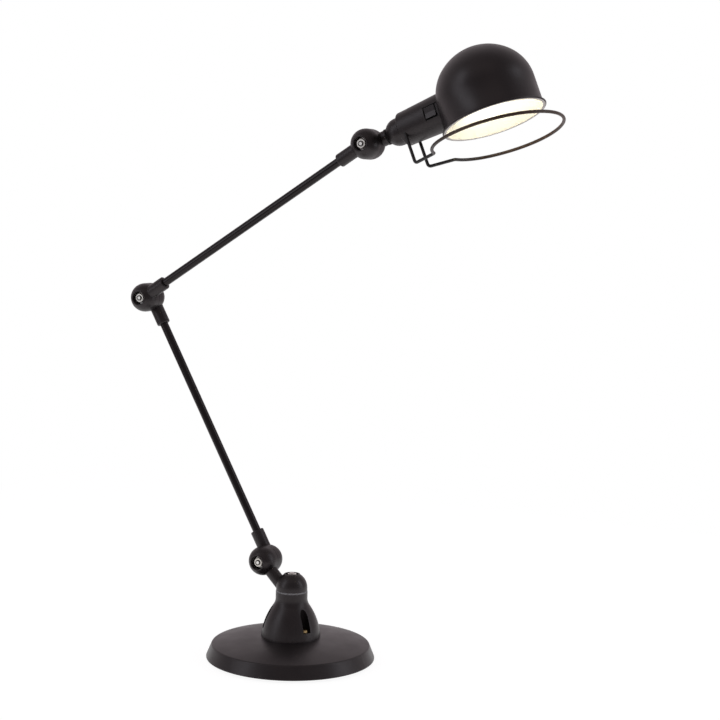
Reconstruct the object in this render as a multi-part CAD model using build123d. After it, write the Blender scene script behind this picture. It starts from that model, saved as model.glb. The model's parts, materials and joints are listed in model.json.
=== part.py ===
from build123d import *
from math import acos, asin, atan2, cos, degrees, radians, sin, sqrt, tan
import os

# Adjustable desk lamp: a weighted round base with a bell pedestal, a swivel, two tubular arms that
# fold on round friction knuckles, and a domed head with a wire guard ring.
# Millimetres. +Z is up and the origin is the centre of the base's underside. The arms lie in planes
# square to Y, so every knuckle turns about Y, its nut is on the -Y side, and the head is towards +X.
# The arms stand as they are set on the desk.

# Pose, in degrees
stub_drop = 45.0
lower_arm_lean = 29.6
upper_arm_tilt = 32.5
head_tilt = 22.6
head_roll = -5.0

# Clearances
running_clearance = 0.05
seat_clearance = 0.2
joint_gap = 0.3

# Base
base_radius = 81.0
base_rim_height = 0.8
base_bevel_inset = 5.0
base_bevel_height = 12.0
base_crown_height = 23.0
base_crown_bulge = 1.5
base_edge_round = 2.0
base_wall = 1.5
base_hub_radius = 9.0
pad_thickness = 2.5
pad_inset = 8.0
gland_height = 7.2
gland_radius = 4.2
gland_bore_radius = 3.2
gland_length = 9.0
gland_protrusion = 1.6

# Pedestal
pedestal_foot_radius = 28.6
pedestal_neck_radius = 15.3
pedestal_height = 43.2
pedestal_neck_length = 6.2
pedestal_neck_round = 12.0
pedestal_slope = 35.4
pedestal_bore_radius = 11.0
pedestal_top_wall = 8.0
slot_count = 3
slot_width = 8.0
slot_floor = 8.0
slot_turn = -26.0
screw_circle_radius = 22.2
screw_head_radius = 3.4
screw_head_height = 2.6
screw_radius = 2.0
screw_length = 15.0

# Swivel
swivel_washer_thickness = 1.5
swivel_cap_radius = 15.0
swivel_cap_straight = 2.3
swivel_cap_seat = 10.8
swivel_reach = 33.8
swivel_rise = 23.7
stub_radius = 6.2

# Knuckles
knuckle_radius = 14.15
knuckle_straight = 4.5
arm_offset = 7.3
collar_radius = 7.7
collar_wall = 1.3
collar_height = 0.6
collar_round = 0.3
nut_seat = 9.6
friction_ring_radius = 13.2
friction_ring_width = 2.4
friction_ring_depth = 0.6
wire_chamber_radius = 10.0
wire_chamber_width = 3.0
wire_chamber_depth = 6.0
wire_passage_radius = 2.4
socket_radius = 6.5
socket_reach = 30.0
socket_round = 1.2
tube_insertion = 14.0

# Knuckle bolts
bolt_radius = 2.5
bolt_tail = 0.8
bolt_head_height = 3.5
nut_across_flats = 8.0
nut_height = 4.0
nut_chamfer = 0.5
washer_radius = 5.6
washer_thickness = 1.0

# Arm tubes
arm_length = 286.0
tube_radius = 4.0
tube_wall = 1.0

# Head yoke
yoke_neck_radius = 7.0
yoke_neck_reach = 17.2
yoke_flange_radius = 7.6
yoke_flange_thickness = 1.8
yoke_washer_radius = 6.4
yoke_washer_thickness = 1.2
spigot_radius = 4.0
spigot_bore_radius = 2.6
spigot_tail = 1.0
spigot_nut_across_flats = 11.0
spigot_nut_height = 4.0

# Head housing
cap_radius = 12.9
cap_centre = 30.6
cap_wall = 1.8
cap_skirt_reach = 8.0
sleeve_start = 35.5
sleeve_rear_radius = 15.9
sleeve_front_radius = 17.8
sleeve_front = 84.0
sleeve_wall = 1.7
sleeve_collar_length = 8.0
sleeve_round = 1.3
sleeve_ledge = 60.0
sleeve_ledge_thickness = 2.0
set_screw_radius = 1.5
set_screw_place = 39.8

# Shade
shade_place = 122.1
shade_centre_drop = 2.4
shade_radius = 45.1
shade_shoulder_radius = 39.5
shade_shoulder_rise = 3.0
shade_height = 44.9
shade_skirt_radius = 45.6
shade_lip_radius = 48.0
shade_lip_height = 2.0
shade_lip_edge = 1.2
shade_drop = 26.4
shade_wall = 1.0

# Lampholder and bulb
holder_radius = 10.2
holder_start = 47.0
holder_front = 83.5
holder_flange_radius = 14.2
holder_flange_thickness = 2.0
holder_floor = 58.0
shell_radius = 8.0
shell_wall = 0.8
contact_radius = 3.0
contact_thickness = 1.0
ring_radius = 14.4
ring_depth = 6.0
bulb_cap_radius = 6.9
bulb_cap_length = 24.0
bulb_tip_radius = 4.0
bulb_tip_end_radius = 2.0
bulb_radius = 22.5
bulb_place = 118.0
bulb_throat_radius = 13.5
bulb_neck_radius = 7.6
bulb_neck_length = 4.0
bulb_wall = 0.9

# Guard ring
wire_radius = 1.5
guard_leg_place = 41.45
guard_leg_side = 13.2
guard_leg_top = 7.3
guard_leg_lean = 2.5
guard_drop = 37.6
guard_droop = 3.0
guard_splay = 19.0
guard_roll = -1.15
guard_ring_radius = 61.4
guard_ring_place = 76.4
guard_corner_round = 3.0
guard_ring_round = 2.5
guard_heel_radius = 45.0
guard_heel_turn = 60.0

# Switch on the near side of the sleeve
switch_start = 65.5
switch_length = 12.0
switch_width = 12.4
switch_face = 15.2
switch_depth = 4.2
rocker_length = 10.4
rocker_width = 10.2
rocker_window_gap = 0.4
rocker_pivot_depth = 1.4
rocker_end_rise = 1.6
rocker_middle_rise = 0.8
rocker_height = 2.6
rocker_tilt = -7.0
rocker_floor_gap = 0.9
axle_radius = 0.7

MIDDLE = (Align.CENTER, Align.CENTER, Align.CENTER)
STANDING = (Align.CENTER, Align.CENTER, Align.MIN)
HANGING = (Align.CENTER, Align.CENTER, Align.MAX)
FORWARD = (Align.MIN, Align.CENTER, Align.MIN)

# Levels of the base stack
base_bottom = pad_thickness
base_bevel_low = base_bottom + base_rim_height
base_bevel_top = base_bevel_low + base_bevel_height
pedestal_top = base_crown_height + pedestal_height
swivel_bottom = pedestal_top + swivel_washer_thickness
shoulder = Vector(-swivel_reach, arm_offset, swivel_bottom + swivel_rise)

# Knuckle levels along Y, from the arm's axis on the front half
split_face = arm_offset - joint_gap / 2
ball_centre = arm_offset - knuckle_straight
collar_face = ball_centre - sqrt(knuckle_radius ** 2 - collar_radius ** 2) - collar_height
recess_radius = collar_radius - collar_wall
recess_floor = arm_offset - nut_seat
nut_face = recess_floor - washer_thickness - nut_height
tube_start = socket_reach - tube_insertion

# Head levels along the head's own axis, from the knuckle
yoke_flange_end = yoke_neck_reach + yoke_flange_thickness
cap_seat = yoke_flange_end + yoke_washer_thickness
cap_floor = cap_seat + cap_wall
spigot_nut_start = cap_floor + washer_thickness
spigot_end = spigot_nut_start + spigot_nut_height + spigot_tail
cap_end = sleeve_start + cap_skirt_reach
sleeve_bore_radius = sleeve_rear_radius - sleeve_wall


def bar(radius, start, end):
    """Round bar along X."""
    return Pos(start, 0, 0) * Rot(0, 90, 0) * Cylinder(radius, end - start, align=STANDING)


def pin(radius, start, end):
    """Round bar along Y."""
    return Pos(0, start, 0) * Rot(-90, 0, 0) * Cylinder(radius, end - start, align=STANDING)


def post(radius, low, high):
    """Round bar along Z."""
    return Pos(0, 0, low) * Cylinder(radius, high - low, align=STANDING)


def prism(across_flats, height):
    """Hexagon standing on Z = 0."""
    return extrude(RegularPolygon(across_flats / 2, 6, major_radius=False), height)


def turned(axis, *edges):
    """Solid of revolution of the closed outline about X or Y."""
    return revolve(make_face(edges), axis)


def lathed(*edges):
    """Solid of revolution about Z of an outline drawn as (radius, height)."""
    return Rot(90, 0, 0) * revolve(make_face(edges), Axis.Y)


def outline(*points):
    """Straight edges through the points and back to the first."""
    return [Line(points[n], points[(n + 1) % len(points)]) for n in range(len(points))]


# Base

bevel_angle = atan2(base_bevel_height, base_bevel_inset)


def base_form(inset):
    """Base body set in from the outer surface: upright rim, bevel and crowned top."""
    rim = base_radius - inset
    low = (rim, base_bevel_low - inset * tan((radians(90) - bevel_angle) / 2))
    high = (base_radius - base_bevel_inset - inset * tan(bevel_angle / 2), base_bevel_top - inset)
    top = (pedestal_foot_radius, base_crown_height - inset)
    middle = ((high[0] + top[0]) / 2, (high[1] + top[1]) / 2 + base_crown_bulge)
    return lathed(
        Line((0, base_bottom), (rim, base_bottom)),
        Line((rim, base_bottom), low),
        Line(low, high),
        ThreePointArc(high, middle, top),
        Line(top, (0, top[1])),
        Line((0, top[1]), (0, base_bottom)),
    )


def screw_places():
    """Turns about Z of the pedestal's slots and their screws."""
    return [slot_turn + n * 360 / slot_count for n in range(slot_count)]


def screw_holes(radius):
    """Bores through the base and the pedestal's foot, one in each slot."""
    low = base_crown_height + slot_floor - screw_length - seat_clearance
    bore = Pos(screw_circle_radius, 0, 0) * post(radius, low, pedestal_top)
    return [Rot(0, 0, turn) * bore for turn in screw_places()]


def base_shell():
    form = base_form(0)
    top_edges = [
        edge for edge in form.edges() if abs(edge.center().Z - base_bevel_top) < running_clearance
    ]
    form = fillet(top_edges, base_edge_round)
    shell = form - base_form(base_wall) - post(base_hub_radius, 0, pedestal_top)
    gland_hole = Pos(0, 0, gland_height) * pin(gland_radius + running_clearance, 0, 2 * base_radius)
    return shell - gland_hole - screw_holes(screw_radius + running_clearance)


def base_weight():
    weight = base_form(base_wall + seat_clearance) - post(base_hub_radius, 0, pedestal_top)
    channel_width = 2 * (gland_radius + seat_clearance)
    channel_top = gland_height + gland_radius + seat_clearance
    channel = Pos(0, base_radius / 2, channel_top / 2) * Box(channel_width, base_radius, channel_top)
    return weight - channel - screw_holes(screw_radius + running_clearance)


def base_pad():
    return post(base_radius - pad_inset, 0, pad_thickness)


def cord_gland():
    end = base_radius + gland_protrusion
    start = end - gland_length
    bush = pin(gland_radius, start, end) - pin(gland_bore_radius, start, end)
    return Pos(0, 0, gland_height) * bush


# Pedestal and swivel

def pedestal():
    neck_low = pedestal_top - pedestal_neck_length
    neck = JernArc((pedestal_neck_radius, neck_low), (0, -1), pedestal_neck_round, pedestal_slope)
    bell = TangentArc(neck @ 1, (pedestal_foot_radius, base_crown_height), tangent=neck % 1)
    body = lathed(
        Line((0, pedestal_top), (pedestal_neck_radius, pedestal_top)),
        Line((pedestal_neck_radius, pedestal_top), (pedestal_neck_radius, neck_low)),
        neck,
        bell,
        Line(bell @ 1, (0, base_crown_height)),
        Line((0, base_crown_height), (0, pedestal_top)),
    )
    body -= post(pedestal_bore_radius, base_crown_height, pedestal_top - pedestal_top_wall)
    body -= post(bolt_radius + running_clearance, base_crown_height, pedestal_top)
    floor = base_crown_height + slot_floor
    outward = pedestal_foot_radius
    slot = Pos(screw_circle_radius, 0, 0) * post(slot_width / 2, floor, pedestal_top)
    slot += Pos(screw_circle_radius + outward / 2, 0, (floor + pedestal_top) / 2) * Box(
        outward, slot_width, pedestal_top - floor
    )
    body -= [Rot(0, 0, turn) * slot for turn in screw_places()]
    return body - screw_holes(screw_radius + running_clearance)


def pedestal_screws():
    floor = base_crown_height + slot_floor
    head = post(screw_head_radius, floor, floor + screw_head_height)
    head = fillet(head.edges().group_by(Axis.Z)[-1], screw_head_height / 2)
    screw = Pos(screw_circle_radius, 0, 0) * (head + post(screw_radius, floor - screw_length, floor))
    return [Rot(0, 0, turn) * screw for turn in screw_places()]


def swivel_washer():
    washer = post(pedestal_neck_radius - seat_clearance, pedestal_top, swivel_bottom)
    return washer - post(bolt_radius + running_clearance, pedestal_top, swivel_bottom)


swivel_seat = swivel_bottom + swivel_cap_seat
swivel_nut_start = swivel_seat + washer_thickness


def swivel_stud():
    head_top = pedestal_top - pedestal_top_wall
    head = Pos(0, 0, head_top - bolt_head_height) * prism(nut_across_flats, bolt_head_height)
    return head + post(bolt_radius, head_top, swivel_nut_start + nut_height + bolt_tail)


def swivel_lock_washer():
    return ring_on_post(washer_radius, swivel_seat, washer_thickness)


def swivel_nut():
    return Pos(0, 0, swivel_nut_start) * nut(nut_across_flats, nut_height, bolt_radius)


def ring_on_post(radius, low, thickness):
    """Flat washer on the knuckle bolt's size, about Z."""
    hole = bolt_radius + running_clearance
    return post(radius, low, low + thickness) - post(hole, low, low + thickness)


def nut(across_flats, height, thread_radius):
    """Hexagon nut with chamfered corners, standing on Z = 0."""
    corner = across_flats / 2 / cos(radians(30))
    crown = Pos(0, 0, height / 2) * Cone(corner + height, corner - nut_chamfer, height, align=MIDDLE)
    body = prism(across_flats, height) & crown
    return body - post(thread_radius + running_clearance, 0, height)


# Knuckles

def ball_half():
    """Front half of a knuckle about Y, solid, with the raised collar round its nut recess."""
    arc = CenterArc((0, ball_centre), knuckle_radius, 0, -degrees(acos(collar_radius / knuckle_radius)))
    return turned(
        Axis.Y,
        Line((0, split_face), (knuckle_radius, split_face)),
        Line((knuckle_radius, split_face), (knuckle_radius, ball_centre)),
        arc,
        Line(arc @ 1, (collar_radius, collar_face + collar_round)),
        CenterArc((collar_radius - collar_round, collar_face + collar_round), collar_round, 0, -90),
        Line((collar_radius - collar_round, collar_face), (0, collar_face)),
        Line((0, collar_face), (0, split_face)),
    )


def knuckle_cuts():
    """What is cut from a front half: nut recess, bolt hole, friction groove and wire chamber."""
    beyond = split_face + knuckle_radius
    groove_floor = split_face - friction_ring_depth
    groove = pin(friction_ring_radius + running_clearance, groove_floor, beyond)
    groove -= pin(friction_ring_radius - friction_ring_width - running_clearance, groove_floor, beyond)
    chamber_floor = split_face - wire_chamber_depth
    chamber = pin(wire_chamber_radius, chamber_floor, beyond)
    chamber -= pin(wire_chamber_radius - wire_chamber_width, chamber_floor, beyond)
    recess = pin(recess_radius, collar_face - knuckle_radius, recess_floor)
    mouth = Pos(0, collar_face, 0) * Rot(-90, 0, 0) * recess_mouth()
    hole = pin(bolt_radius + running_clearance, collar_face - knuckle_radius, beyond)
    return [groove, chamber, recess, mouth, hole]


def recess_mouth():
    """Chamfer at the mouth of a nut recess, going in along +Z."""
    return Cone(recess_radius + collar_round, recess_radius, collar_round, align=STANDING)


def socket():
    """Round tube socket along X, with a softened mouth."""
    body = bar(socket_radius, 0, socket_reach)
    return fillet(body.edges().group_by(Axis.X)[-1], socket_round)


def socket_cuts():
    """Bore for the arm tube and the passage for its wires."""
    passage_start = wire_chamber_radius - wire_chamber_width / 2
    bore = bar(tube_radius + running_clearance, tube_start, 2 * socket_reach)
    return [bore, bar(wire_passage_radius, passage_start, socket_reach)]


def front_arm_knuckle():
    return ball_half() + socket() - knuckle_cuts() - socket_cuts()


def back_half(front):
    """The same casting made for the other side of the split."""
    return mirror(front, Plane.XZ)


def arm_tube():
    end = arm_length - tube_start
    return bar(tube_radius, tube_start, end) - bar(tube_radius - tube_wall, tube_start, end)


def swivel_knuckle():
    """Swivel cap, sloping stub and the shoulder's front half in one casting."""
    crown = swivel_bottom + swivel_cap_straight
    arc = CenterArc((0, crown), swivel_cap_radius, 0, degrees(acos(collar_radius / swivel_cap_radius)))
    top = (arc @ 1).Y + collar_height
    cap = lathed(
        Line((0, swivel_bottom), (swivel_cap_radius, swivel_bottom)),
        Line((swivel_cap_radius, swivel_bottom), (swivel_cap_radius, crown)),
        arc,
        Line(arc @ 1, (collar_radius, top - collar_round)),
        CenterArc((collar_radius - collar_round, top - collar_round), collar_round, 0, 90),
        Line((collar_radius - collar_round, top), (0, top)),
        Line((0, top), (0, swivel_bottom)),
    )
    reach = swivel_reach / cos(radians(stub_drop))
    stub = Pos(0, ball_centre, 0) * bar(stub_radius, 0, reach)
    below = Pos(0, 0, swivel_bottom) * Box(
        4 * swivel_reach, 4 * swivel_reach, 2 * swivel_rise, align=HANGING
    )
    back_half_room = pin(knuckle_radius + joint_gap, split_face, split_face + knuckle_radius)
    body = shoulder_frame(-stub_drop, front=True) * (ball_half() + stub - back_half_room) - below + cap
    body -= [shoulder_frame(-stub_drop, front=True) * cut for cut in knuckle_cuts()]
    body -= post(recess_radius, swivel_seat, top + swivel_cap_radius)
    body -= Pos(0, 0, top) * Rot(180, 0, 0) * recess_mouth()
    return body - post(bolt_radius + running_clearance, swivel_bottom, top + swivel_cap_radius)


def joint_bolt():
    """Bolt along Y with its head on the back half; the split is at y = arm_offset."""
    seat = arm_offset + nut_seat + washer_thickness
    head = Pos(0, seat, 0) * Rot(-90, 0, 0) * prism(nut_across_flats, bolt_head_height)
    return head + pin(bolt_radius, nut_face - bolt_tail, seat)


def joint_nut():
    return Pos(0, recess_floor - washer_thickness, 0) * Rot(90, 0, 0) * nut(
        nut_across_flats, nut_height, bolt_radius
    )


def joint_washers():
    washer = ring_on_post(washer_radius, 0, washer_thickness)
    front = Pos(0, recess_floor, 0) * Rot(90, 0, 0) * washer
    back = Pos(0, arm_offset + nut_seat, 0) * Rot(-90, 0, 0) * washer
    return [front, back]


def friction_ring():
    half = friction_ring_depth + joint_gap / 2
    ring = pin(friction_ring_radius, arm_offset - half, arm_offset + half)
    return ring - pin(friction_ring_radius - friction_ring_width, arm_offset - half, arm_offset + half)


# Frames of the arms and the head

def direction(tilt):
    return Vector(cos(radians(tilt)), 0, sin(radians(tilt)))


elbow = shoulder + direction(90 + lower_arm_lean) * arm_length
wrist = elbow + direction(upper_arm_tilt) * arm_length


def joint_frame(joint, tilt, front):
    """Frame at a knuckle with X along the arm and Y = 0 on the arm's axis."""
    side = 0 if front else 2 * arm_offset
    return Pos(joint.X, joint.Y - arm_offset + side, joint.Z) * Rot(0, -tilt, 0)


def shoulder_frame(tilt, front):
    return joint_frame(shoulder, tilt, front)


lower_arm_frame = joint_frame(shoulder, 90 + lower_arm_lean, front=False)
lower_arm_end = joint_frame(elbow, lower_arm_lean - 90, front=False)
upper_arm_frame = joint_frame(elbow, upper_arm_tilt, front=True)
upper_arm_end = joint_frame(wrist, upper_arm_tilt - 180, front=True)
yoke_frame = joint_frame(wrist, head_tilt, front=False)
head_frame = yoke_frame * Rot(head_roll, 0, 0)


# Head yoke

def head_yoke():
    """Back half of the wrist with the neck, flange and hollow spigot that the head turns on."""
    neck = bar(yoke_neck_radius, 0, yoke_neck_reach)
    flange = bar(yoke_flange_radius, yoke_neck_reach, yoke_flange_end)
    spigot = bar(spigot_radius, yoke_flange_end, spigot_end)
    body = back_half(ball_half()) + neck + flange + spigot - [back_half(cut) for cut in knuckle_cuts()]
    return body - bar(spigot_bore_radius, wire_chamber_radius - wire_chamber_width / 2, spigot_end)


def yoke_washer():
    return bar(yoke_washer_radius, yoke_flange_end, cap_seat) - bar(
        spigot_radius + running_clearance, yoke_flange_end, cap_seat
    )


def spigot_washer():
    radius = spigot_nut_across_flats / 2
    return bar(radius, cap_floor, spigot_nut_start) - bar(
        spigot_radius + running_clearance, cap_floor, spigot_nut_start
    )


def spigot_nut():
    return Pos(spigot_nut_start, 0, 0) * Rot(0, 90, 0) * nut(
        spigot_nut_across_flats, spigot_nut_height, spigot_radius
    )


# Head housing, in the head's own frame: X along the head, Z up, Y across

def head_cap():
    """Round rear cap: flat seat on the spigot, nut pocket and a skirt that slides into the sleeve."""
    inner = cap_radius - cap_wall
    hole = spigot_radius + running_clearance
    pocket = spigot_nut_across_flats / 2 / cos(radians(30)) + seat_clearance
    seat_turn = degrees(acos((cap_centre - cap_seat) / cap_radius))
    pocket_turn = degrees(asin(pocket / inner))
    outside = CenterArc((cap_centre, 0), cap_radius, 90, 90 - seat_turn)
    inside = CenterArc((cap_centre, 0), inner, 90, 90 - pocket_turn)
    body = turned(
        Axis.X,
        Line((cap_seat, hole), outside @ 1),
        outside,
        Line(outside @ 0, (cap_end, cap_radius)),
        Line((cap_end, cap_radius), (cap_end, inner)),
        Line((cap_end, inner), inside @ 0),
        inside,
        Line(inside @ 1, (cap_floor, pocket)),
        Line((cap_floor, pocket), (cap_floor, hole)),
        Line((cap_floor, hole), (cap_seat, hole)),
    )
    return body - set_screw_hole()


def set_screw_hole():
    radius = set_screw_radius + running_clearance
    return Pos(set_screw_place, 0, 0) * post(radius, -2 * sleeve_rear_radius, 0)


def sleeve_set_screw():
    """Headless screw from below through the sleeve's collar and the cap's skirt."""
    return Pos(set_screw_place, 0, 0) * post(
        set_screw_radius, seat_clearance - sleeve_rear_radius, cap_wall - cap_radius
    )


def shade_form(inset):
    """Shade's body set in from its outside: low crown, rounder shoulder, skirt and outturned lip."""
    shoulder_centre = shade_radius - shade_shoulder_radius
    shoulder_level = shade_shoulder_rise - shade_centre_drop
    top = shade_height - shade_centre_drop
    height = top - shoulder_level
    crown_radius = (shoulder_centre ** 2 + height ** 2 - shade_shoulder_radius ** 2) / (
        2 * (height - shade_shoulder_radius)
    )
    meet = degrees(atan2(crown_radius - height, shoulder_centre))
    arc_shoulder = CenterArc((shoulder_centre, shoulder_level), shade_shoulder_radius - inset, 0, meet)
    arc_crown = CenterArc((0, top - crown_radius), crown_radius - inset, meet, 90 - meet)
    lip_top = shade_lip_height - shade_drop
    skirt_end = (shade_skirt_radius - inset, lip_top)
    flare = (shade_lip_radius - inset, shade_lip_edge - shade_drop)
    foot = (shade_lip_radius - inset, -shade_drop)
    body = lathed(
        arc_shoulder,
        arc_crown,
        Line(arc_crown @ 1, (0, -shade_drop)),
        Line((0, -shade_drop), foot),
        Line(foot, flare),
        Line(flare, skirt_end),
        Line(skirt_end, arc_shoulder @ 0),
    )
    return Pos(shade_place, 0, 0) * body


def sleeve():
    """Tapered sleeve: collar on the cap, inner ledge for the lampholder, front saddled to the shade."""
    body = turned(
        Axis.X,
        *outline(
            (sleeve_start, 0),
            (sleeve_start, sleeve_rear_radius),
            (sleeve_front, sleeve_front_radius),
            (sleeve_front, 0),
        ),
    )
    body = fillet(body.edges().group_by(Axis.X)[0], sleeve_round)
    collar_end = sleeve_start + sleeve_collar_length
    body -= bar(cap_radius + running_clearance, 0, collar_end)
    body -= bar(sleeve_bore_radius, collar_end, sleeve_ledge)
    body -= bar(holder_radius + seat_clearance, sleeve_ledge, sleeve_front)
    body -= bar(sleeve_bore_radius, sleeve_ledge + sleeve_ledge_thickness, sleeve_front)
    body -= shade_form(-seat_clearance)
    opening_width = switch_width + 2 * seat_clearance
    pocket = Box(sleeve_front - switch_start, opening_width, sleeve_front, align=FORWARD)
    window = Box(switch_length + 2 * seat_clearance, opening_width, sleeve_front, align=FORWARD)
    body -= switch_frame * Pos(0, 0, switch_face) * pocket
    body -= switch_frame * Pos(0, 0, switch_face - switch_depth) * window
    body -= set_screw_hole()
    for side in (-1, 1):
        body -= guard_hole(side)
    return body


def shade():
    """Spun dome with a short skirt and an outturned lip, open below."""
    bowl = shade_form(0) - shade_form(shade_wall)
    return bowl - bar(holder_radius + seat_clearance, 0, shade_place)


def lampholder():
    """Insulating body with a clamping flange and a round bore for the screw shell."""
    flange_start = sleeve_ledge - holder_flange_thickness
    body = bar(holder_radius, holder_start, holder_front)
    body += bar(holder_flange_radius, flange_start, sleeve_ledge)
    return body - bar(shell_radius + running_clearance, holder_floor, holder_front)


def screw_shell():
    front = holder_front - shell_wall
    return bar(shell_radius, holder_floor, front) - bar(
        shell_radius - shell_wall, holder_floor + contact_thickness, front
    ) - bar(contact_radius + shell_wall, holder_floor, front)


def centre_contact():
    return bar(contact_radius, holder_floor, holder_floor + contact_thickness)


def shade_ring():
    """Threaded ring that clamps the shade against the sleeve from inside."""
    ring_end = holder_front - shell_wall
    body = bar(ring_radius, ring_end - ring_depth, ring_end) & shade_form(shade_wall + running_clearance)
    return body - bar(holder_radius + running_clearance, 0, ring_end)


bulb_start = holder_floor + 2 * contact_thickness
bulb_cap_end = bulb_start + bulb_cap_length


def bulb_cap():
    tip = Cone(bulb_tip_end_radius, bulb_tip_radius, contact_thickness, align=HANGING)
    return bar(bulb_cap_radius, bulb_start, bulb_cap_end) + Pos(bulb_start, 0, 0) * Rot(0, 90, 0) * tip


def bulb_form(inset):
    """Round bulb on a short neck, set in from its outer surface."""
    neck = bulb_neck_radius - inset
    neck_end = bulb_cap_end + bulb_neck_length
    throat = degrees(asin(bulb_throat_radius / bulb_radius))
    ball = CenterArc((bulb_place, 0), bulb_radius - inset, 0, 180 - throat)
    return turned(
        Axis.X,
        Line((bulb_cap_end, 0), (bulb_cap_end, neck)),
        Line((bulb_cap_end, neck), (neck_end, neck)),
        Line((neck_end, neck), ball @ 1),
        ball,
        Line(ball @ 0, (bulb_cap_end, 0)),
    )


def bulb_glass():
    return bulb_form(0) - bulb_form(bulb_wall)


# Guard ring: legs down from the sleeve, forwards under the head, then round the opening

guard_leg_run = (guard_drop - guard_leg_top) * tan(radians(guard_leg_lean))
guard_corner = Vector(guard_leg_place + guard_leg_run, 0, -guard_drop)
guard_forward = direction(-guard_droop)
guard_up = direction(90 + guard_leg_lean)
guard_frame = Rot(guard_roll, 0, 0)


def guard_point(forward, side):
    """Point in the ring's plane, forward of the corner and to the side."""
    return guard_corner + guard_forward * forward + Vector(0, side, 0)


def guard_side_edges(side):
    """Leg, corner, splayed forward run, outward bend and the ring's flatter heel, on one side."""
    splay = radians(guard_splay)
    corner = guard_point(0, side * guard_leg_side)
    run = guard_forward * cos(splay) + Vector(0, side * sin(splay), 0)
    turn = radians(guard_up.get_angle(run))
    trim = guard_corner_round / tan(turn / 2)
    inward = (guard_up + run).normalized()
    corner_middle = corner + inward * (guard_corner_round / sin(turn / 2) - guard_corner_round)
    leg_top = Vector(guard_leg_place, side * guard_leg_side, -guard_leg_top)
    leg_end = corner + guard_up * trim
    run_start = corner + run * trim
    # The bend's centre lies outside both the run and the heel, one bend radius from each.
    heel_turn = radians(guard_heel_turn)
    heel_forward = guard_ring_place - (guard_ring_radius - guard_heel_radius) * cos(heel_turn)
    heel_side = (guard_ring_radius - guard_heel_radius) * sin(heel_turn)
    base_forward = -guard_ring_round * sin(splay) - heel_forward
    base_side = guard_leg_side + guard_ring_round * cos(splay) - heel_side
    along = base_forward * cos(splay) + base_side * sin(splay)
    spare = base_forward ** 2 + base_side ** 2 - (guard_heel_radius + guard_ring_round) ** 2
    run_length = -along - sqrt(along ** 2 - spare)
    bend_forward = base_forward + run_length * cos(splay)
    bend_side = base_side + run_length * sin(splay)
    bend_turn = atan2(bend_side, -bend_forward)
    run_end = corner + run * run_length
    half_way = (splay - radians(90) - bend_turn) / 2
    bend_middle = guard_point(
        heel_forward + bend_forward + guard_ring_round * cos(half_way),
        side * (heel_side + bend_side + guard_ring_round * sin(half_way)),
    )
    heel = [
        guard_point(
            heel_forward - guard_heel_radius * cos(stop),
            side * (heel_side + guard_heel_radius * sin(stop)),
        )
        for stop in (bend_turn, (bend_turn + heel_turn) / 2, heel_turn)
    ]
    return [
        Edge.make_line(leg_top, leg_end),
        Edge.make_three_point_arc(leg_end, corner_middle, run_start),
        Edge.make_line(run_start, run_end),
        Edge.make_three_point_arc(run_end, bend_middle, heel[0]),
        Edge.make_three_point_arc(*heel),
    ]


def ring_point(turn):
    """Point on the ring, turned from its rear towards +Y."""
    return guard_point(
        guard_ring_place - guard_ring_radius * cos(turn), guard_ring_radius * sin(turn)
    )


def guard_ring():
    near = guard_side_edges(-1)
    far = guard_side_edges(1)
    heel_turn = radians(guard_heel_turn)
    front = radians(180)
    stops = [heel_turn, (heel_turn + front) / 2, front]
    near_half = Edge.make_three_point_arc(*[ring_point(-stop) for stop in stops])
    far_half = Edge.make_three_point_arc(*[ring_point(stop) for stop in stops])
    path = Wire(near + [near_half, far_half] + far)
    start = Plane(origin=near[0] @ 0, z_dir=near[0] % 0)
    return guard_frame * sweep(start * Circle(wire_radius), path=path)


def guard_hole(side):
    """Blind hole in the sleeve's lower flank for one leg of the guard."""
    start = Vector(guard_leg_place, side * guard_leg_side, -guard_leg_top)
    hole = Cylinder(wire_radius + running_clearance, guard_drop, align=STANDING)
    return guard_frame * (Plane(origin=start, z_dir=-guard_up) * hole)


# Switch: frame with X along the head, Z out of the sleeve's near side

switch_frame = Pos(switch_start, 0, 0) * Rot(90, 0, 0)
rocker_pivot = switch_face - rocker_pivot_depth
rocker_bottom = switch_face + rocker_middle_rise - rocker_height
rocker_middle = Pos(seat_clearance + switch_length / 2, 0, 0)


def switch_housing():
    """Shallow box with a window for the rocker and the axle across it."""
    window_length = rocker_length + 2 * rocker_window_gap
    window_width = rocker_width + 2 * rocker_window_gap
    floor = rocker_bottom - rocker_floor_gap
    body = Pos(0, 0, switch_face - switch_depth) * Box(
        switch_length, switch_width, switch_depth, align=STANDING
    )
    window = Pos(0, 0, floor) * Box(window_length, window_width, switch_depth, align=STANDING)
    axle = Pos(0, 0, rocker_pivot) * bar(axle_radius, -window_length / 2, window_length / 2)
    return rocker_middle * (body - window + axle)


def switch_rocker():
    """Rocker with a shallow dished top, tipped on its axle with the lower end out."""
    half = rocker_width / 2
    section = make_face(
        outline(
            (-half, rocker_bottom),
            (half, rocker_bottom),
            (half, switch_face + rocker_end_rise),
            (0, switch_face + rocker_middle_rise),
            (-half, switch_face + rocker_end_rise),
        )
    )
    body = extrude(Plane.YZ * section, rocker_length / 2, both=True)
    body -= Pos(0, 0, rocker_pivot) * bar(axle_radius + running_clearance, -rocker_length, rocker_length)
    tipped = Pos(0, 0, rocker_pivot) * Rot(rocker_tilt, 0, 0) * Pos(0, 0, -rocker_pivot) * body
    return rocker_middle * tipped


def knuckle_hardware(name, frame):
    """Bolt, nut, washers and friction ring of one knuckle."""
    return {
        f"{name}_bolt": frame * joint_bolt(),
        f"{name}_nut": frame * joint_nut(),
        f"{name}_washers": [frame * washer for washer in joint_washers()],
        f"{name}_friction_ring": frame * friction_ring(),
    }


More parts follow.
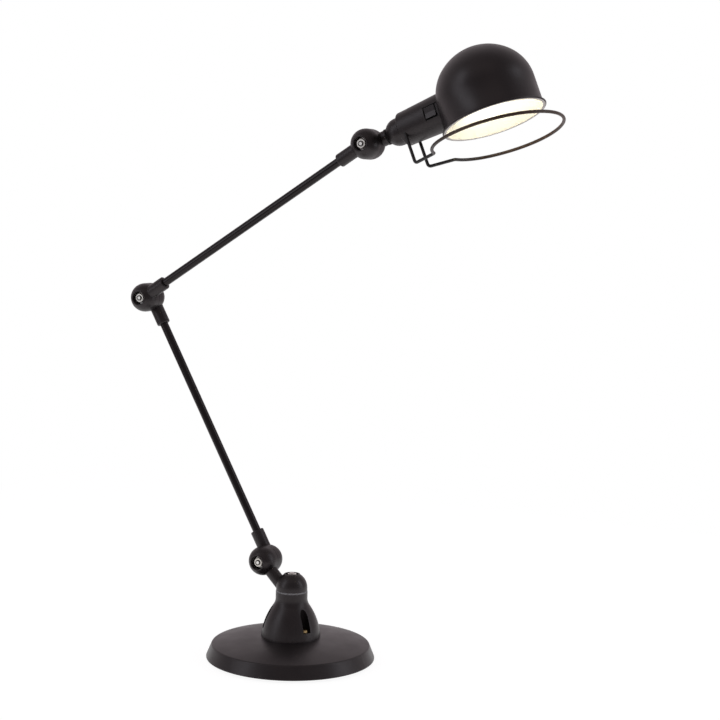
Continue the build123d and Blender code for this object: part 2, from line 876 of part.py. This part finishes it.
def lamp():
    """Every piece by its node's name, in place."""
    pieces = {
        "base_shell": base_shell(),
        "base_weight": base_weight(),
        "base_pad": base_pad(),
        "cord_gland": cord_gland(),
        "pedestal": pedestal(),
        "pedestal_screws": pedestal_screws(),
        "swivel_stud": swivel_stud(),
        "swivel_washer": swivel_washer(),
        "swivel_lock_washer": swivel_lock_washer(),
        "swivel_nut": swivel_nut(),
        "swivel_knuckle": swivel_knuckle(),
    }
    pieces |= knuckle_hardware("shoulder", shoulder_frame(-stub_drop, front=True))
    arm_knuckle = front_arm_knuckle()
    pieces |= {
        "lower_arm_bottom_knuckle": lower_arm_frame * back_half(arm_knuckle),
        "lower_arm_tube": lower_arm_frame * arm_tube(),
        "lower_arm_top_knuckle": lower_arm_end * back_half(arm_knuckle),
        "upper_arm_bottom_knuckle": upper_arm_frame * arm_knuckle,
        "upper_arm_tube": upper_arm_frame * arm_tube(),
        "upper_arm_top_knuckle": upper_arm_end * arm_knuckle,
    }
    pieces |= knuckle_hardware("elbow", upper_arm_frame)
    pieces |= knuckle_hardware("wrist", upper_arm_end)
    pieces |= {
        "head_yoke": yoke_frame * head_yoke(),
        "yoke_washer": yoke_frame * yoke_washer(),
        "spigot_washer": yoke_frame * spigot_washer(),
        "spigot_nut": yoke_frame * spigot_nut(),
        "head_cap": head_frame * head_cap(),
        "sleeve": head_frame * sleeve(),
        "sleeve_set_screw": head_frame * sleeve_set_screw(),
        "shade": head_frame * shade(),
        "shade_ring": head_frame * shade_ring(),
        "lampholder": head_frame * lampholder(),
        "screw_shell": head_frame * screw_shell(),
        "centre_contact": head_frame * centre_contact(),
        "bulb_cap": head_frame * bulb_cap(),
        "bulb_glass": head_frame * bulb_glass(),
        "guard_ring": head_frame * guard_ring(),
        "switch_housing": head_frame * switch_frame * switch_housing(),
        "switch_rocker": head_frame * switch_frame * switch_rocker(),
    }
    return pieces


os.makedirs("parts", exist_ok=True)
for node, piece in lamp().items():
    solids = piece if isinstance(piece, list) else [piece]
    export_step(Compound(children=[Compound(solid.solids()) for solid in solids]), f"parts/{node}.step")
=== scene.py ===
"""Looks of the adjustable desk lamp: finishes, the spun shade, the lit bulb, camera and studio light.

Metres, in the CAD frame: +Z up, arms in planes square to Y, head towards +X.
"""
import json
import math

import bmesh
import bpy
from mathutils import Matrix, Vector


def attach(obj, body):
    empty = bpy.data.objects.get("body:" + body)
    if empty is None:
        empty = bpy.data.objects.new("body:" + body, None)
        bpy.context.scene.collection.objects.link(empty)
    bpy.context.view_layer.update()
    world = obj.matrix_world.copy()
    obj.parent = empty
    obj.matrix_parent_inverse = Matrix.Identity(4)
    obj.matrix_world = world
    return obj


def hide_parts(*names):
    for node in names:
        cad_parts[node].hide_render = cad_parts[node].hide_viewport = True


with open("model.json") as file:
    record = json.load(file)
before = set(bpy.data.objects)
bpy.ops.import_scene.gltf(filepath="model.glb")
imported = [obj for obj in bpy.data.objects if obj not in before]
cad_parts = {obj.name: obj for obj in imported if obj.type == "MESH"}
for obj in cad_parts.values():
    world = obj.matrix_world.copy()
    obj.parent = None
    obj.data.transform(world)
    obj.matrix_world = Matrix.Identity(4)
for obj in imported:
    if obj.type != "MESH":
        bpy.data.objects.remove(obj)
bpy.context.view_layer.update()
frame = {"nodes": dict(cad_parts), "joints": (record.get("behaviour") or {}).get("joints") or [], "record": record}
nodes = frame["nodes"]
joints = {joint["name"]: joint for joint in frame["joints"]}
MM = 0.001
CREASE = math.radians(35)

# Linear colours: the darkest and the lightest shade of each finish
PAINT = (0.0095, 0.0080, 0.0084), (0.0130, 0.0108, 0.0112)
ENAMEL = (0.86, 0.84, 0.78), (0.92, 0.90, 0.84)
STEEL = (0.56, 0.54, 0.51), (0.82, 0.80, 0.76)
NUT = (0.58, 0.55, 0.51), (0.80, 0.77, 0.72)
WASHER = (0.84, 0.82, 0.78), (0.95, 0.93, 0.90)
BRASS = (0.36, 0.25, 0.11), (0.62, 0.46, 0.25)
FIBRE = (0.20, 0.20, 0.21), (0.33, 0.33, 0.34)
IRON = (0.055, 0.055, 0.058), (0.12, 0.12, 0.125)
RUBBER = (0.012, 0.012, 0.012), (0.022, 0.022, 0.022)
MOULDED = (0.013, 0.013, 0.013), (0.022, 0.022, 0.022)
SWITCH = (0.0125, 0.0108, 0.0116), (0.0160, 0.0138, 0.0148)
OPAL = (0.46, 0.44, 0.39), (0.54, 0.52, 0.47)

# Single linear colours
PAINT_GLOSS = (1.0, 0.90, 0.92)
# Painted shade on the bolts' ends, round their middle and over the thread
BOLT_PAINTED_SHADE = (0.05, 0.045, 0.04)
# Painted warm light from the bulb, laid as a brown tint on the guard's ring
PAINTED_BULB_LIGHT = (0.052, 0.023, 0.008)
BULB_WHITE = (1.0, 0.97, 0.88)
BULB_LIGHT = (1.0, 0.96, 0.77)
WHITE = (1.0, 1.0, 1.0)
FLOOR_WHITE = (0.9, 0.9, 0.9)
FLOOR_SHADE = (0.2, 0.2, 0.2)
STUDIO_TINT = (1.0, 0.90, 0.93)
COOL_LIGHT = (0.88, 0.94, 1.0)
WARM_LIGHT = (1.0, 0.90, 0.84)

# Shares of the light that a finish reflects straight, and of the bulb's own glow
PAINT_SHINE = 0.5
TUBE_SHINE = 0.3
# Painted shade: the small share that the walls of the pedestal's slots reflect, so that they read dark
SLOT_SHADE_SHINE = 0.02
BULB_GLOW = 0.6

# Where a patch of a finish turns from its darkest to its lightest shade
PATCH_EDGES = (0.3, 0.7)

# Layers of detail in the noise of the patches and of the grain
PATCH_DETAIL = 4
GRAIN_DETAIL = 2

# Sizes of the black paint's patches and grain
PAINT_PATCH = 18 * MM
PAINT_GRAIN = 0.9 * MM


def rgba(colour):
    return (*colour, 1.0)


def feed(tree, node, inputs):
    """Sets a node's inputs, or links those whose value is another node's output."""
    for name, value in inputs.items():
        socket = node.inputs[name]
        if isinstance(value, bpy.types.NodeSocket):
            tree.links.new(value, socket)
        else:
            socket.default_value = value


def add(tree, kind, inputs=None, **settings):
    """A new node with its settings made and its inputs fed."""
    node = tree.nodes.new(f"ShaderNode{kind}")
    for name, value in settings.items():
        setattr(node, name, value)
    feed(tree, node, inputs or {})
    return node


def finish(name, shades, patch, rough, grain, relief, **sockets):
    """Material whose colour and gloss drift over patches and whose surface has a fine relief.

    patch and grain are feature sizes, relief is the grain's height, rough the least and most roughness.
    sockets are further inputs of the shader by name, with _ for a space.
    """
    material = bpy.data.materials.new(name)
    material.use_nodes = True
    tree = material.node_tree
    place = add(tree, "TexCoord").outputs["Object"]
    patches = add(tree, "TexNoise", {"Vector": place, "Scale": 1 / patch, "Detail": PATCH_DETAIL})
    drift = patches.outputs["Fac"]
    colour = add(tree, "ValToRGB", {"Fac": drift})
    for element, edge, shade in zip(colour.color_ramp.elements, PATCH_EDGES, shades):
        element.position = edge
        element.color = rgba(shade)
    gloss = add(tree, "MapRange", {
        "Value": drift,
        "From Min": PATCH_EDGES[0],
        "From Max": PATCH_EDGES[1],
        "To Min": rough[0],
        "To Max": rough[1],
    })
    texture = add(tree, "TexNoise", {"Vector": place, "Scale": 1 / grain, "Detail": GRAIN_DETAIL})
    bump = add(tree, "Bump", {"Height": texture.outputs["Fac"], "Strength": 1.0, "Distance": relief})
    surface = tree.nodes["Principled BSDF"]
    feed(tree, surface, {
        "Base Color": colour.outputs["Color"],
        "Roughness": gloss.outputs["Result"],
        "Normal": bump.outputs["Normal"],
    })
    feed(tree, surface, {key.replace("_", " "): value for key, value in sockets.items()})
    return material


def black_paint(name, rough, relief, shine=PAINT_SHINE):
    return finish(
        name, PAINT, PAINT_PATCH, rough, PAINT_GRAIN, relief,
        Specular_Tint=rgba(PAINT_GLOSS), Specular_IOR_Level=shine,
    )


def metal(name, shades, patch, rough, grain, relief):
    return finish(name, shades, patch, rough, grain, relief, Metallic=1.0)


paint = black_paint("satin_black_paint", (0.36, 0.44), 0.03 * MM)
tube_paint = black_paint("gloss_black_tube", (0.20, 0.28), 0.02 * MM, TUBE_SHINE)
enamel = finish("cream_enamel", ENAMEL, 20 * MM, (0.40, 0.50), 1.5 * MM, 0.02 * MM)
nut_steel = metal("dull_zinc", NUT, 2 * MM, (0.40, 0.50), 0.4 * MM, 0.02 * MM)
washer_steel = metal("white_zinc", WASHER, 2 * MM, (0.44, 0.54), 0.4 * MM, 0.01 * MM)
slot_finish = {
    "black_paint": paint,
    "iron": metal("raw_iron", IRON, 6 * MM, (0.60, 0.80), 1.2 * MM, 0.2 * MM),
    "pad": finish("rubber", RUBBER, 4 * MM, (0.75, 0.90), 0.7 * MM, 0.05 * MM),
    "gland": finish("matt_nylon", MOULDED, 6 * MM, (0.50, 0.62), 0.8 * MM, 0.03 * MM),
    "brass": metal("brass", BRASS, 3 * MM, (0.30, 0.45), 0.6 * MM, 0.01 * MM),
    "bright_steel": metal("zinc_steel", STEEL, 3 * MM, (0.18, 0.34), 0.5 * MM, 0.01 * MM),
    "friction_washer": finish("grey_fibre", FIBRE, 3 * MM, (0.60, 0.75), 0.6 * MM, 0.04 * MM),
    "holder_plastic": finish("moulded_black", MOULDED, 6 * MM, (0.42, 0.55), 0.6 * MM, 0.03 * MM),
    "switch_plastic": finish(
        "gloss_black", SWITCH, 8 * MM, (0.28, 0.36), 0.8 * MM, 0.02 * MM, Specular_Tint=rgba(PAINT_GLOSS),
    ),
    "opal_glass": finish(
        "opal_bulb", OPAL, 12 * MM, (0.25, 0.35), 2 * MM, 0.01 * MM,
        Emission_Color=rgba(BULB_WHITE), Emission_Strength=BULB_GLOW,
    ),
}

# Slots in the pedestal, whose walls get painted shade, a little wider and deeper than in the casting so that they
# take in its walls
SLOT_COUNT = 3
SLOT_TURN = math.radians(-26.0)
SLOT_CENTRE = 22.2 * MM
SLOT_RADIUS = 4.05 * MM
SLOT_FLOOR = 30.9 * MM


def paint_with_painted_slot_shade():
    """Paint that reflects hardly any light inside the pedestal's slots: painted shade that darkens the slots'
    walls.
    """
    material = paint.copy()
    material.name = "satin_black_painted_slot_shade"
    tree = material.node_tree

    def work(operation, *values):
        return add(tree, "Math", dict(enumerate(values)), operation=operation).outputs["Value"]

    def length(first, second):
        return work("SQRT", work("ADD", work("MULTIPLY", first, first), work("MULTIPLY", second, second)))

    place = add(tree, "TexCoord").outputs["Object"]
    x, y, z = add(tree, "SeparateXYZ", {"Vector": place}).outputs
    half_pitch = math.pi / SLOT_COUNT
    turn = work("WRAP", work("SUBTRACT", work("ARCTAN2", y, x), SLOT_TURN), half_pitch, -half_pitch)
    along = work("MULTIPLY", length(x, y), work("COSINE", turn))
    across = work("MULTIPLY", length(x, y), work("SINE", turn))
    inward = work("MAXIMUM", work("SUBTRACT", SLOT_CENTRE, along), 0.0)
    in_slot = work("LESS_THAN", length(inward, across), SLOT_RADIUS)
    above_floor = work("GREATER_THAN", z, SLOT_FLOOR)
    # Painted shade: the paint's reflection drops inside the slots
    shine = add(tree, "MapRange", {
        "Value": work("MULTIPLY", in_slot, above_floor),
        "To Min": PAINT_SHINE,
        "To Max": SLOT_SHADE_SHINE,
    })
    feed(tree, tree.nodes["Principled BSDF"], {"Specular IOR Level": shine.outputs["Result"]})
    return material


# Radii round a bolt's axis: up to the first, its end keeps the steel's colour; from there to the second, a painted
# shade darkens it, and the shade is full beyond
BOLT_MIDDLE = 1.4 * MM
BOLT_SHADE_FULL = 1.7 * MM

# Along the head from the wrist: where the painted warm light from the bulb starts on the guard, and where it is
# full
PAINTED_LIGHT_START = 62.0 * MM
PAINTED_LIGHT_FULL = 100.0 * MM

# Inputs and output of a Mix node that mixes colours
MIX_SHARE = 0
MIX_FIRST = 6
MIX_SECOND = 7
MIX_COLOUR = 2


def vector_work(tree, operation, *values):
    return add(tree, "VectorMath", dict(enumerate(values)), operation=operation).outputs


def place_from(tree, joint):
    """The place on a piece at rest, counted from a joint."""
    place = add(tree, "TexCoord").outputs["Object"]
    return vector_work(tree, "SUBTRACT", place, joints[joint]["pos_m"])["Vector"]


def tint(tree, measure, start, full, colour):
    """Mixes another colour into a finish: none of it up to a measure's start, all of it from full on."""
    share = add(tree, "MapRange", {"Value": measure, "From Min": start, "From Max": full})
    base = tree.nodes["Principled BSDF"].inputs["Base Color"]
    mixed = add(tree, "Mix", {
        MIX_SHARE: share.outputs["Result"],
        MIX_FIRST: base.links[0].from_socket,
        MIX_SECOND: rgba(colour),
    }, data_type="RGBA")
    tree.links.new(mixed.outputs[MIX_COLOUR], base)


def bolt_steel_with_painted_shade(joint):
    """Steel of the bolt on a joint's axis: plain in the middle of its end, and darkened outwards over its thread
    by painted shade.
    """
    material = washer_steel.copy()
    material.name = f"{joint}_painted_thread_shade"
    tree = material.node_tree
    across = vector_work(tree, "CROSS_PRODUCT", place_from(tree, joint), joints[joint]["axis"])["Vector"]
    reach = vector_work(tree, "LENGTH", across)["Value"]
    # Painted shade: the bolt's end darkens outwards from its middle
    tint(tree, reach, BOLT_MIDDLE, BOLT_SHADE_FULL, BOLT_PAINTED_SHADE)
    return material


def wire_with_painted_bulb_light():
    """The guard's black paint, with the bulb's warm light painted on as a brown tint towards the ring."""
    material = finish("wire_with_painted_bulb_light", PAINT, 12 * MM, (0.34, 0.44), 0.7 * MM, 0.02 * MM)
    tree = material.node_tree
    place = place_from(tree, "head_turn")
    along = vector_work(tree, "DOT_PRODUCT", place, joints["head_turn"]["axis"])["Value"]
    # Painted light: the bulb's warm glow laid on the ring as a brown tint
    tint(tree, along, PAINTED_LIGHT_START, PAINTED_LIGHT_FULL, PAINTED_BULB_LIGHT)
    return material


def dress_solids():
    """Gives each CAD node its slot's finish, or its own where it has one."""
    own_finish = {
        "pedestal": paint_with_painted_slot_shade(),
        "lower_arm_tube": tube_paint,
        "upper_arm_tube": tube_paint,
        "spigot_nut": nut_steel,
        "guard_ring": wire_with_painted_bulb_light(),
    }
    for knuckle in ("shoulder", "elbow", "wrist"):
        own_finish[f"{knuckle}_nut"] = nut_steel
        own_finish[f"{knuckle}_bolt"] = bolt_steel_with_painted_shade(knuckle)
        own_finish[f"{knuckle}_washers"] = washer_steel
    for subpart in frame["record"]["subparts"]:
        name = subpart["node"]
        solid = nodes[name].data
        solid.materials.clear()
        solid.materials.append(own_finish.get(name, slot_finish[subpart["material_slot"]]))


HOUSING_EDGE = 0.3 * MM
ROCKER_EDGE = 1.0 * MM
EDGE_STEPS = 2


def soften(node, width):
    """Rounds a moulded piece's edges so that they catch the light."""
    bevel = nodes[node].modifiers.new("soft_edges", "BEVEL")
    bevel.width = width
    bevel.segments = EDGE_STEPS
    bevel.limit_method = "ANGLE"
    bevel.angle_limit = CREASE


dress_solids()
soften("switch_housing", HOUSING_EDGE)
soften("switch_rocker", ROCKER_EDGE)

# Head frame: X along the head, Z up, Y across, at the wrist
HEAD_ROLL = math.radians(-5.0)
head_axis = Vector(joints["head_turn"]["axis"])
head_frame = (
    Matrix.Translation(joints["head_turn"]["pos_m"])
    @ Matrix.Rotation(-math.atan2(head_axis.z, head_axis.x), 4, "Y")
    @ Matrix.Rotation(HEAD_ROLL, 4, "X")
)


def show(name, data):
    """Puts a mesh, lamp or camera into the scene under its name."""
    thing = bpy.data.objects.new(name, data)
    bpy.context.scene.collection.objects.link(thing)
    return thing


def mesh_object(name, mesh, *finishes):
    """Puts a bmesh into the scene as an object, its faces numbered by finish."""
    data = bpy.data.meshes.new(name)
    mesh.to_mesh(data)
    mesh.free()
    for material in finishes:
        data.materials.append(material)
    return show(name, data)


# Shade, in its own frame about Z through the dome
SHADE_PLACE = 122.1 * MM
SHADE_TOP = 42.5 * MM
SHADE_RADIUS = 45.1 * MM
SHADE_SHOULDER_RADIUS = 39.5 * MM
SHADE_SHOULDER_LEVEL = 0.6 * MM
SHADE_SKIRT_RADIUS = 45.6 * MM
SHADE_SKIRT_END = -23.4 * MM
SHADE_LIP_RADIUS = 48.0 * MM
SHADE_BOTTOM = -26.4 * MM
SHADE_WALL = 1.0 * MM
BEAD_RADIUS = 1.0 * MM
BEAD_START = 125
INNER_ROUND = 0.4 * MM
HOLE_RADIUS = 10.4 * MM

# Steps round the shade, along its dome's arcs, round its bead and inner edge, and round its hole
SHADE_TURNS = 180
DOME_STEPS = 24
BEAD_STEPS = 16
ROUND_STEPS = 4
HOLE_STEPS = 96


def arc(centre, radius, start, end, steps):
    """Points (radius from the axis, height) on an arc, angles in degrees from outward towards up."""
    turns = [math.radians(start + (end - start) * step / steps) for step in range(steps + 1)]
    return [(centre[0] + radius * math.cos(t), centre[1] + radius * math.sin(t)) for t in turns]


def shade_profile():
    """Outside from the crown round the rolled lip, then back up the inside, and the enamel's first row."""
    centre = SHADE_RADIUS - SHADE_SHOULDER_RADIUS
    height = SHADE_TOP - SHADE_SHOULDER_LEVEL
    rise = height - SHADE_SHOULDER_RADIUS
    crown = (centre ** 2 + height ** 2 - SHADE_SHOULDER_RADIUS ** 2) / (2 * rise)
    meet = math.degrees(math.atan2(crown - height, centre))

    def skin(inset):
        top = arc((0, SHADE_TOP - crown), crown - inset, 90, meet, DOME_STEPS)
        side = arc((centre, SHADE_SHOULDER_LEVEL), SHADE_SHOULDER_RADIUS - inset, meet, 0, DOME_STEPS)
        return top + side[1:] + [(SHADE_SKIRT_RADIUS - inset, SHADE_SKIRT_END - inset / 2)]

    bead = (SHADE_LIP_RADIUS - BEAD_RADIUS, SHADE_BOTTOM + BEAD_RADIUS)
    painted = skin(0) + arc(bead, BEAD_RADIUS, BEAD_START, -90, BEAD_STEPS)
    inner_edge = (SHADE_SKIRT_RADIUS - SHADE_WALL + INNER_ROUND, SHADE_BOTTOM + INNER_ROUND)
    enamelled = arc(inner_edge, INNER_ROUND, -90, -180, ROUND_STEPS) + skin(SHADE_WALL)[::-1]
    return painted + enamelled, len(painted) - 1


def spun_shade():
    """The shade as a turned shell: black outside and round its bead, cream inside."""
    profile, turn_in = shade_profile()
    mesh = bmesh.new()
    crown = mesh.verts.new((0, 0, profile[0][1]))
    crown_inside = mesh.verts.new((0, 0, profile[-1][1]))
    turns = [math.tau * step / SHADE_TURNS for step in range(SHADE_TURNS)]
    rings = [
        [mesh.verts.new((radius * math.cos(turn), radius * math.sin(turn), height)) for turn in turns]
        for radius, height in profile[1:-1]
    ]
    for step in range(SHADE_TURNS):
        after = (step + 1) % SHADE_TURNS
        mesh.faces.new((crown, rings[0][step], rings[0][after]))
        mesh.faces.new((crown_inside, rings[-1][after], rings[-1][step])).material_index = 1
        for row, (upper, lower) in enumerate(zip(rings, rings[1:])):
            face = mesh.faces.new((upper[step], lower[step], lower[after], upper[after]))
            face.material_index = int(row + 1 >= turn_in)
    for face in mesh.faces:
        face.smooth = True
    mesh.transform(head_frame @ Matrix.Translation((SHADE_PLACE, 0, 0)))
    mesh.normal_update()
    shade = mesh_object("spun_shade", mesh, paint, enamel)
    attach(shade, "head")
    cut_holder_hole(shade)
    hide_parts("shade")


def cut_holder_hole(shade):
    """Round hole in the rear of the dome for the lampholder."""
    along_head = Matrix.Translation((SHADE_PLACE / 2, 0, 0)) @ Matrix.Rotation(math.pi / 2, 4, "Y")
    mesh = bmesh.new()
    bmesh.ops.create_cone(
        mesh, cap_ends=True, segments=HOLE_STEPS, radius1=HOLE_RADIUS, radius2=HOLE_RADIUS,
        depth=SHADE_PLACE, matrix=head_frame @ along_head,
    )
    cutter = mesh_object("holder_hole", mesh)
    hole = shade.modifiers.new("holder_hole", "BOOLEAN")
    hole.operation = "DIFFERENCE"
    hole.solver = "EXACT"
    hole.object = cutter
    cut = bpy.data.meshes.new_from_object(shade.evaluated_get(bpy.context.evaluated_depsgraph_get()))
    cut.set_sharp_from_angle(angle=CREASE)
    shade.modifiers.remove(hole)
    shade.data = cut
    bpy.data.objects.remove(cutter)


BULB_PLACE = 118.0 * MM
BULB_LIGHT_RADIUS = 23.5 * MM
BULB_POWER = 0.039


def bulb_light():
    """The light that the bulb throws, from just outside its glass. It moves with the head."""
    data = bpy.data.lights.new("bulb_light", "POINT")
    data.shadow_soft_size = BULB_LIGHT_RADIUS
    data.use_soft_falloff = False
    data.energy = BULB_POWER
    data.color = BULB_LIGHT
    lamp = show("bulb_light", data)
    lamp.location = head_frame @ Vector((BULB_PLACE, 0, 0))
    lamp.visible_camera = False
    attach(lamp, "head")


spun_shade()
bulb_light()

# Floor, which lies just clear of the pad, and background
FLOOR_SIZE = 1.6
FLOOR_LEVEL = -0.2 * MM
FLOOR_GLOW = 0.92
BACKDROP_SIDE = (-0.4507, 0.8927, 0.0)
BACKDROP_EDGE = (-0.1, 1.0)
BACKDROP_LIGHT = 0.7
ROOM_LIGHT = 0.25


def background_rays(tree):
    """1 for rays that show the background: straight to the camera, in a reflection or through glass."""
    path = add(tree, "LightPath").outputs
    shown = path["Is Camera Ray"]
    for other in ("Is Glossy Ray", "Is Transmission Ray"):
        shown = add(tree, "Math", {0: shown, 1: path[other]}, operation="MAXIMUM").outputs["Value"]
    return shown


def floor_material():
    """Matt white floor, which for the camera and in reflections glows up to the white background.

    Its share of plain shading there keeps the lamp's shadow.
    """
    material = bpy.data.materials.new("white_floor")
    material.use_nodes = True
    tree = material.node_tree
    tree.nodes.clear()
    matt = add(tree, "BsdfDiffuse", {"Color": rgba(FLOOR_WHITE)})
    shaded = add(tree, "BsdfDiffuse", {"Color": rgba(FLOOR_SHADE)})
    light = add(tree, "Emission", {"Color": rgba(WHITE), "Strength": FLOOR_GLOW})
    bright = add(tree, "AddShader", {0: shaded.outputs["BSDF"], 1: light.outputs["Emission"]})
    mix = add(tree, "MixShader", {
        0: background_rays(tree),
        1: matt.outputs["BSDF"],
        2: bright.outputs["Shader"],
    })
    add(tree, "OutputMaterial", {"Surface": mix.outputs["Shader"]})
    return material


def floor():
    mesh = bmesh.new()
    bmesh.ops.create_grid(mesh, x_segments=1, y_segments=1, size=FLOOR_SIZE / 2)
    plane = mesh_object("floor", mesh, floor_material())
    plane.location.z = FLOOR_LEVEL


def background():
    """White to the camera. A studio, bright behind the lamp and dim in front of it, lights the lamp."""
    world = bpy.data.worlds.new("studio")
    bpy.context.scene.world = world
    world.use_nodes = True
    tree = world.node_tree
    shown = tree.nodes["Background"]
    feed(tree, shown, {"Color": rgba(WHITE), "Strength": 1.0})
    direction = add(tree, "TexCoord").outputs["Generated"]
    level = add(tree, "MapRange", {
        "Value": vector_work(tree, "DOT_PRODUCT", direction, BACKDROP_SIDE)["Value"],
        "From Min": BACKDROP_EDGE[0],
        "From Max": BACKDROP_EDGE[1],
        "To Min": ROOM_LIGHT,
        "To Max": BACKDROP_LIGHT,
    }, interpolation_type="SMOOTHSTEP")
    studio = add(tree, "Background", {"Color": rgba(STUDIO_TINT), "Strength": level.outputs["Result"]})
    mix = add(tree, "MixShader", {
        0: add(tree, "LightPath").outputs["Is Camera Ray"],
        1: studio.outputs["Background"],
        2: shown.outputs["Background"],
    })
    feed(tree, tree.nodes["World Output"], {"Surface": mix.outputs["Shader"]})


floor()
background()

# Camera, fitted to the base, the arms and the head in the photo
CAMERA_PLACE = (0.7437, -1.33985, 0.4512)
CAMERA_RIGHT = (0.89121, 0.45289, 0.02518)
CAMERA_UP = (-0.06936, 0.08120, 0.99428)
CAMERA_FORWARD = (-0.44824, 0.88786, -0.10378)
CAMERA_LENS = 81.24
CAMERA_SENSOR = 36.0
CAMERA_RANGE = (0.05, 50.0)


def camera():
    data = bpy.data.cameras.new("camera")
    data.lens = CAMERA_LENS
    data.sensor_width = CAMERA_SENSOR
    data.clip_start, data.clip_end = CAMERA_RANGE
    eye = show("camera", data)
    axes = Matrix((CAMERA_RIGHT, CAMERA_UP, -Vector(CAMERA_FORWARD))).transposed()
    eye.matrix_world = Matrix.Translation(CAMERA_PLACE) @ axes.to_4x4()
    bpy.context.scene.camera = eye


def softbox(name, place, aim, size, power, colour):
    """A flat lamp that shines from its place at a point, with its width and height and its watts."""
    data = bpy.data.lights.new(name, "AREA")
    data.shape = "RECTANGLE"
    data.size, data.size_y = size
    data.energy = power
    data.color = colour
    lamp = show(name, data)
    lamp.location = place
    lamp.rotation_mode = "QUATERNION"
    lamp.rotation_quaternion = (Vector(aim) - Vector(place)).to_track_quat("-Z", "Y")


camera()
softbox("key", (-1.0, -1.2, 0.95), aim=(0.0, 0.0, 0.45), size=(0.6, 1.7), power=5.5, colour=COOL_LIGHT)
softbox("fill", (1.5, 0.45, 0.8), aim=(0.05, 0.0, 0.35), size=(0.6, 1.6), power=5.0, colour=COOL_LIGHT)
softbox("top", (0.2, -0.9, 1.9), aim=(0.0, 0.0, 0.2), size=(1.6, 1.0), power=1.0, colour=WARM_LIGHT)

bpy.context.scene.view_settings.view_transform = "Standard"
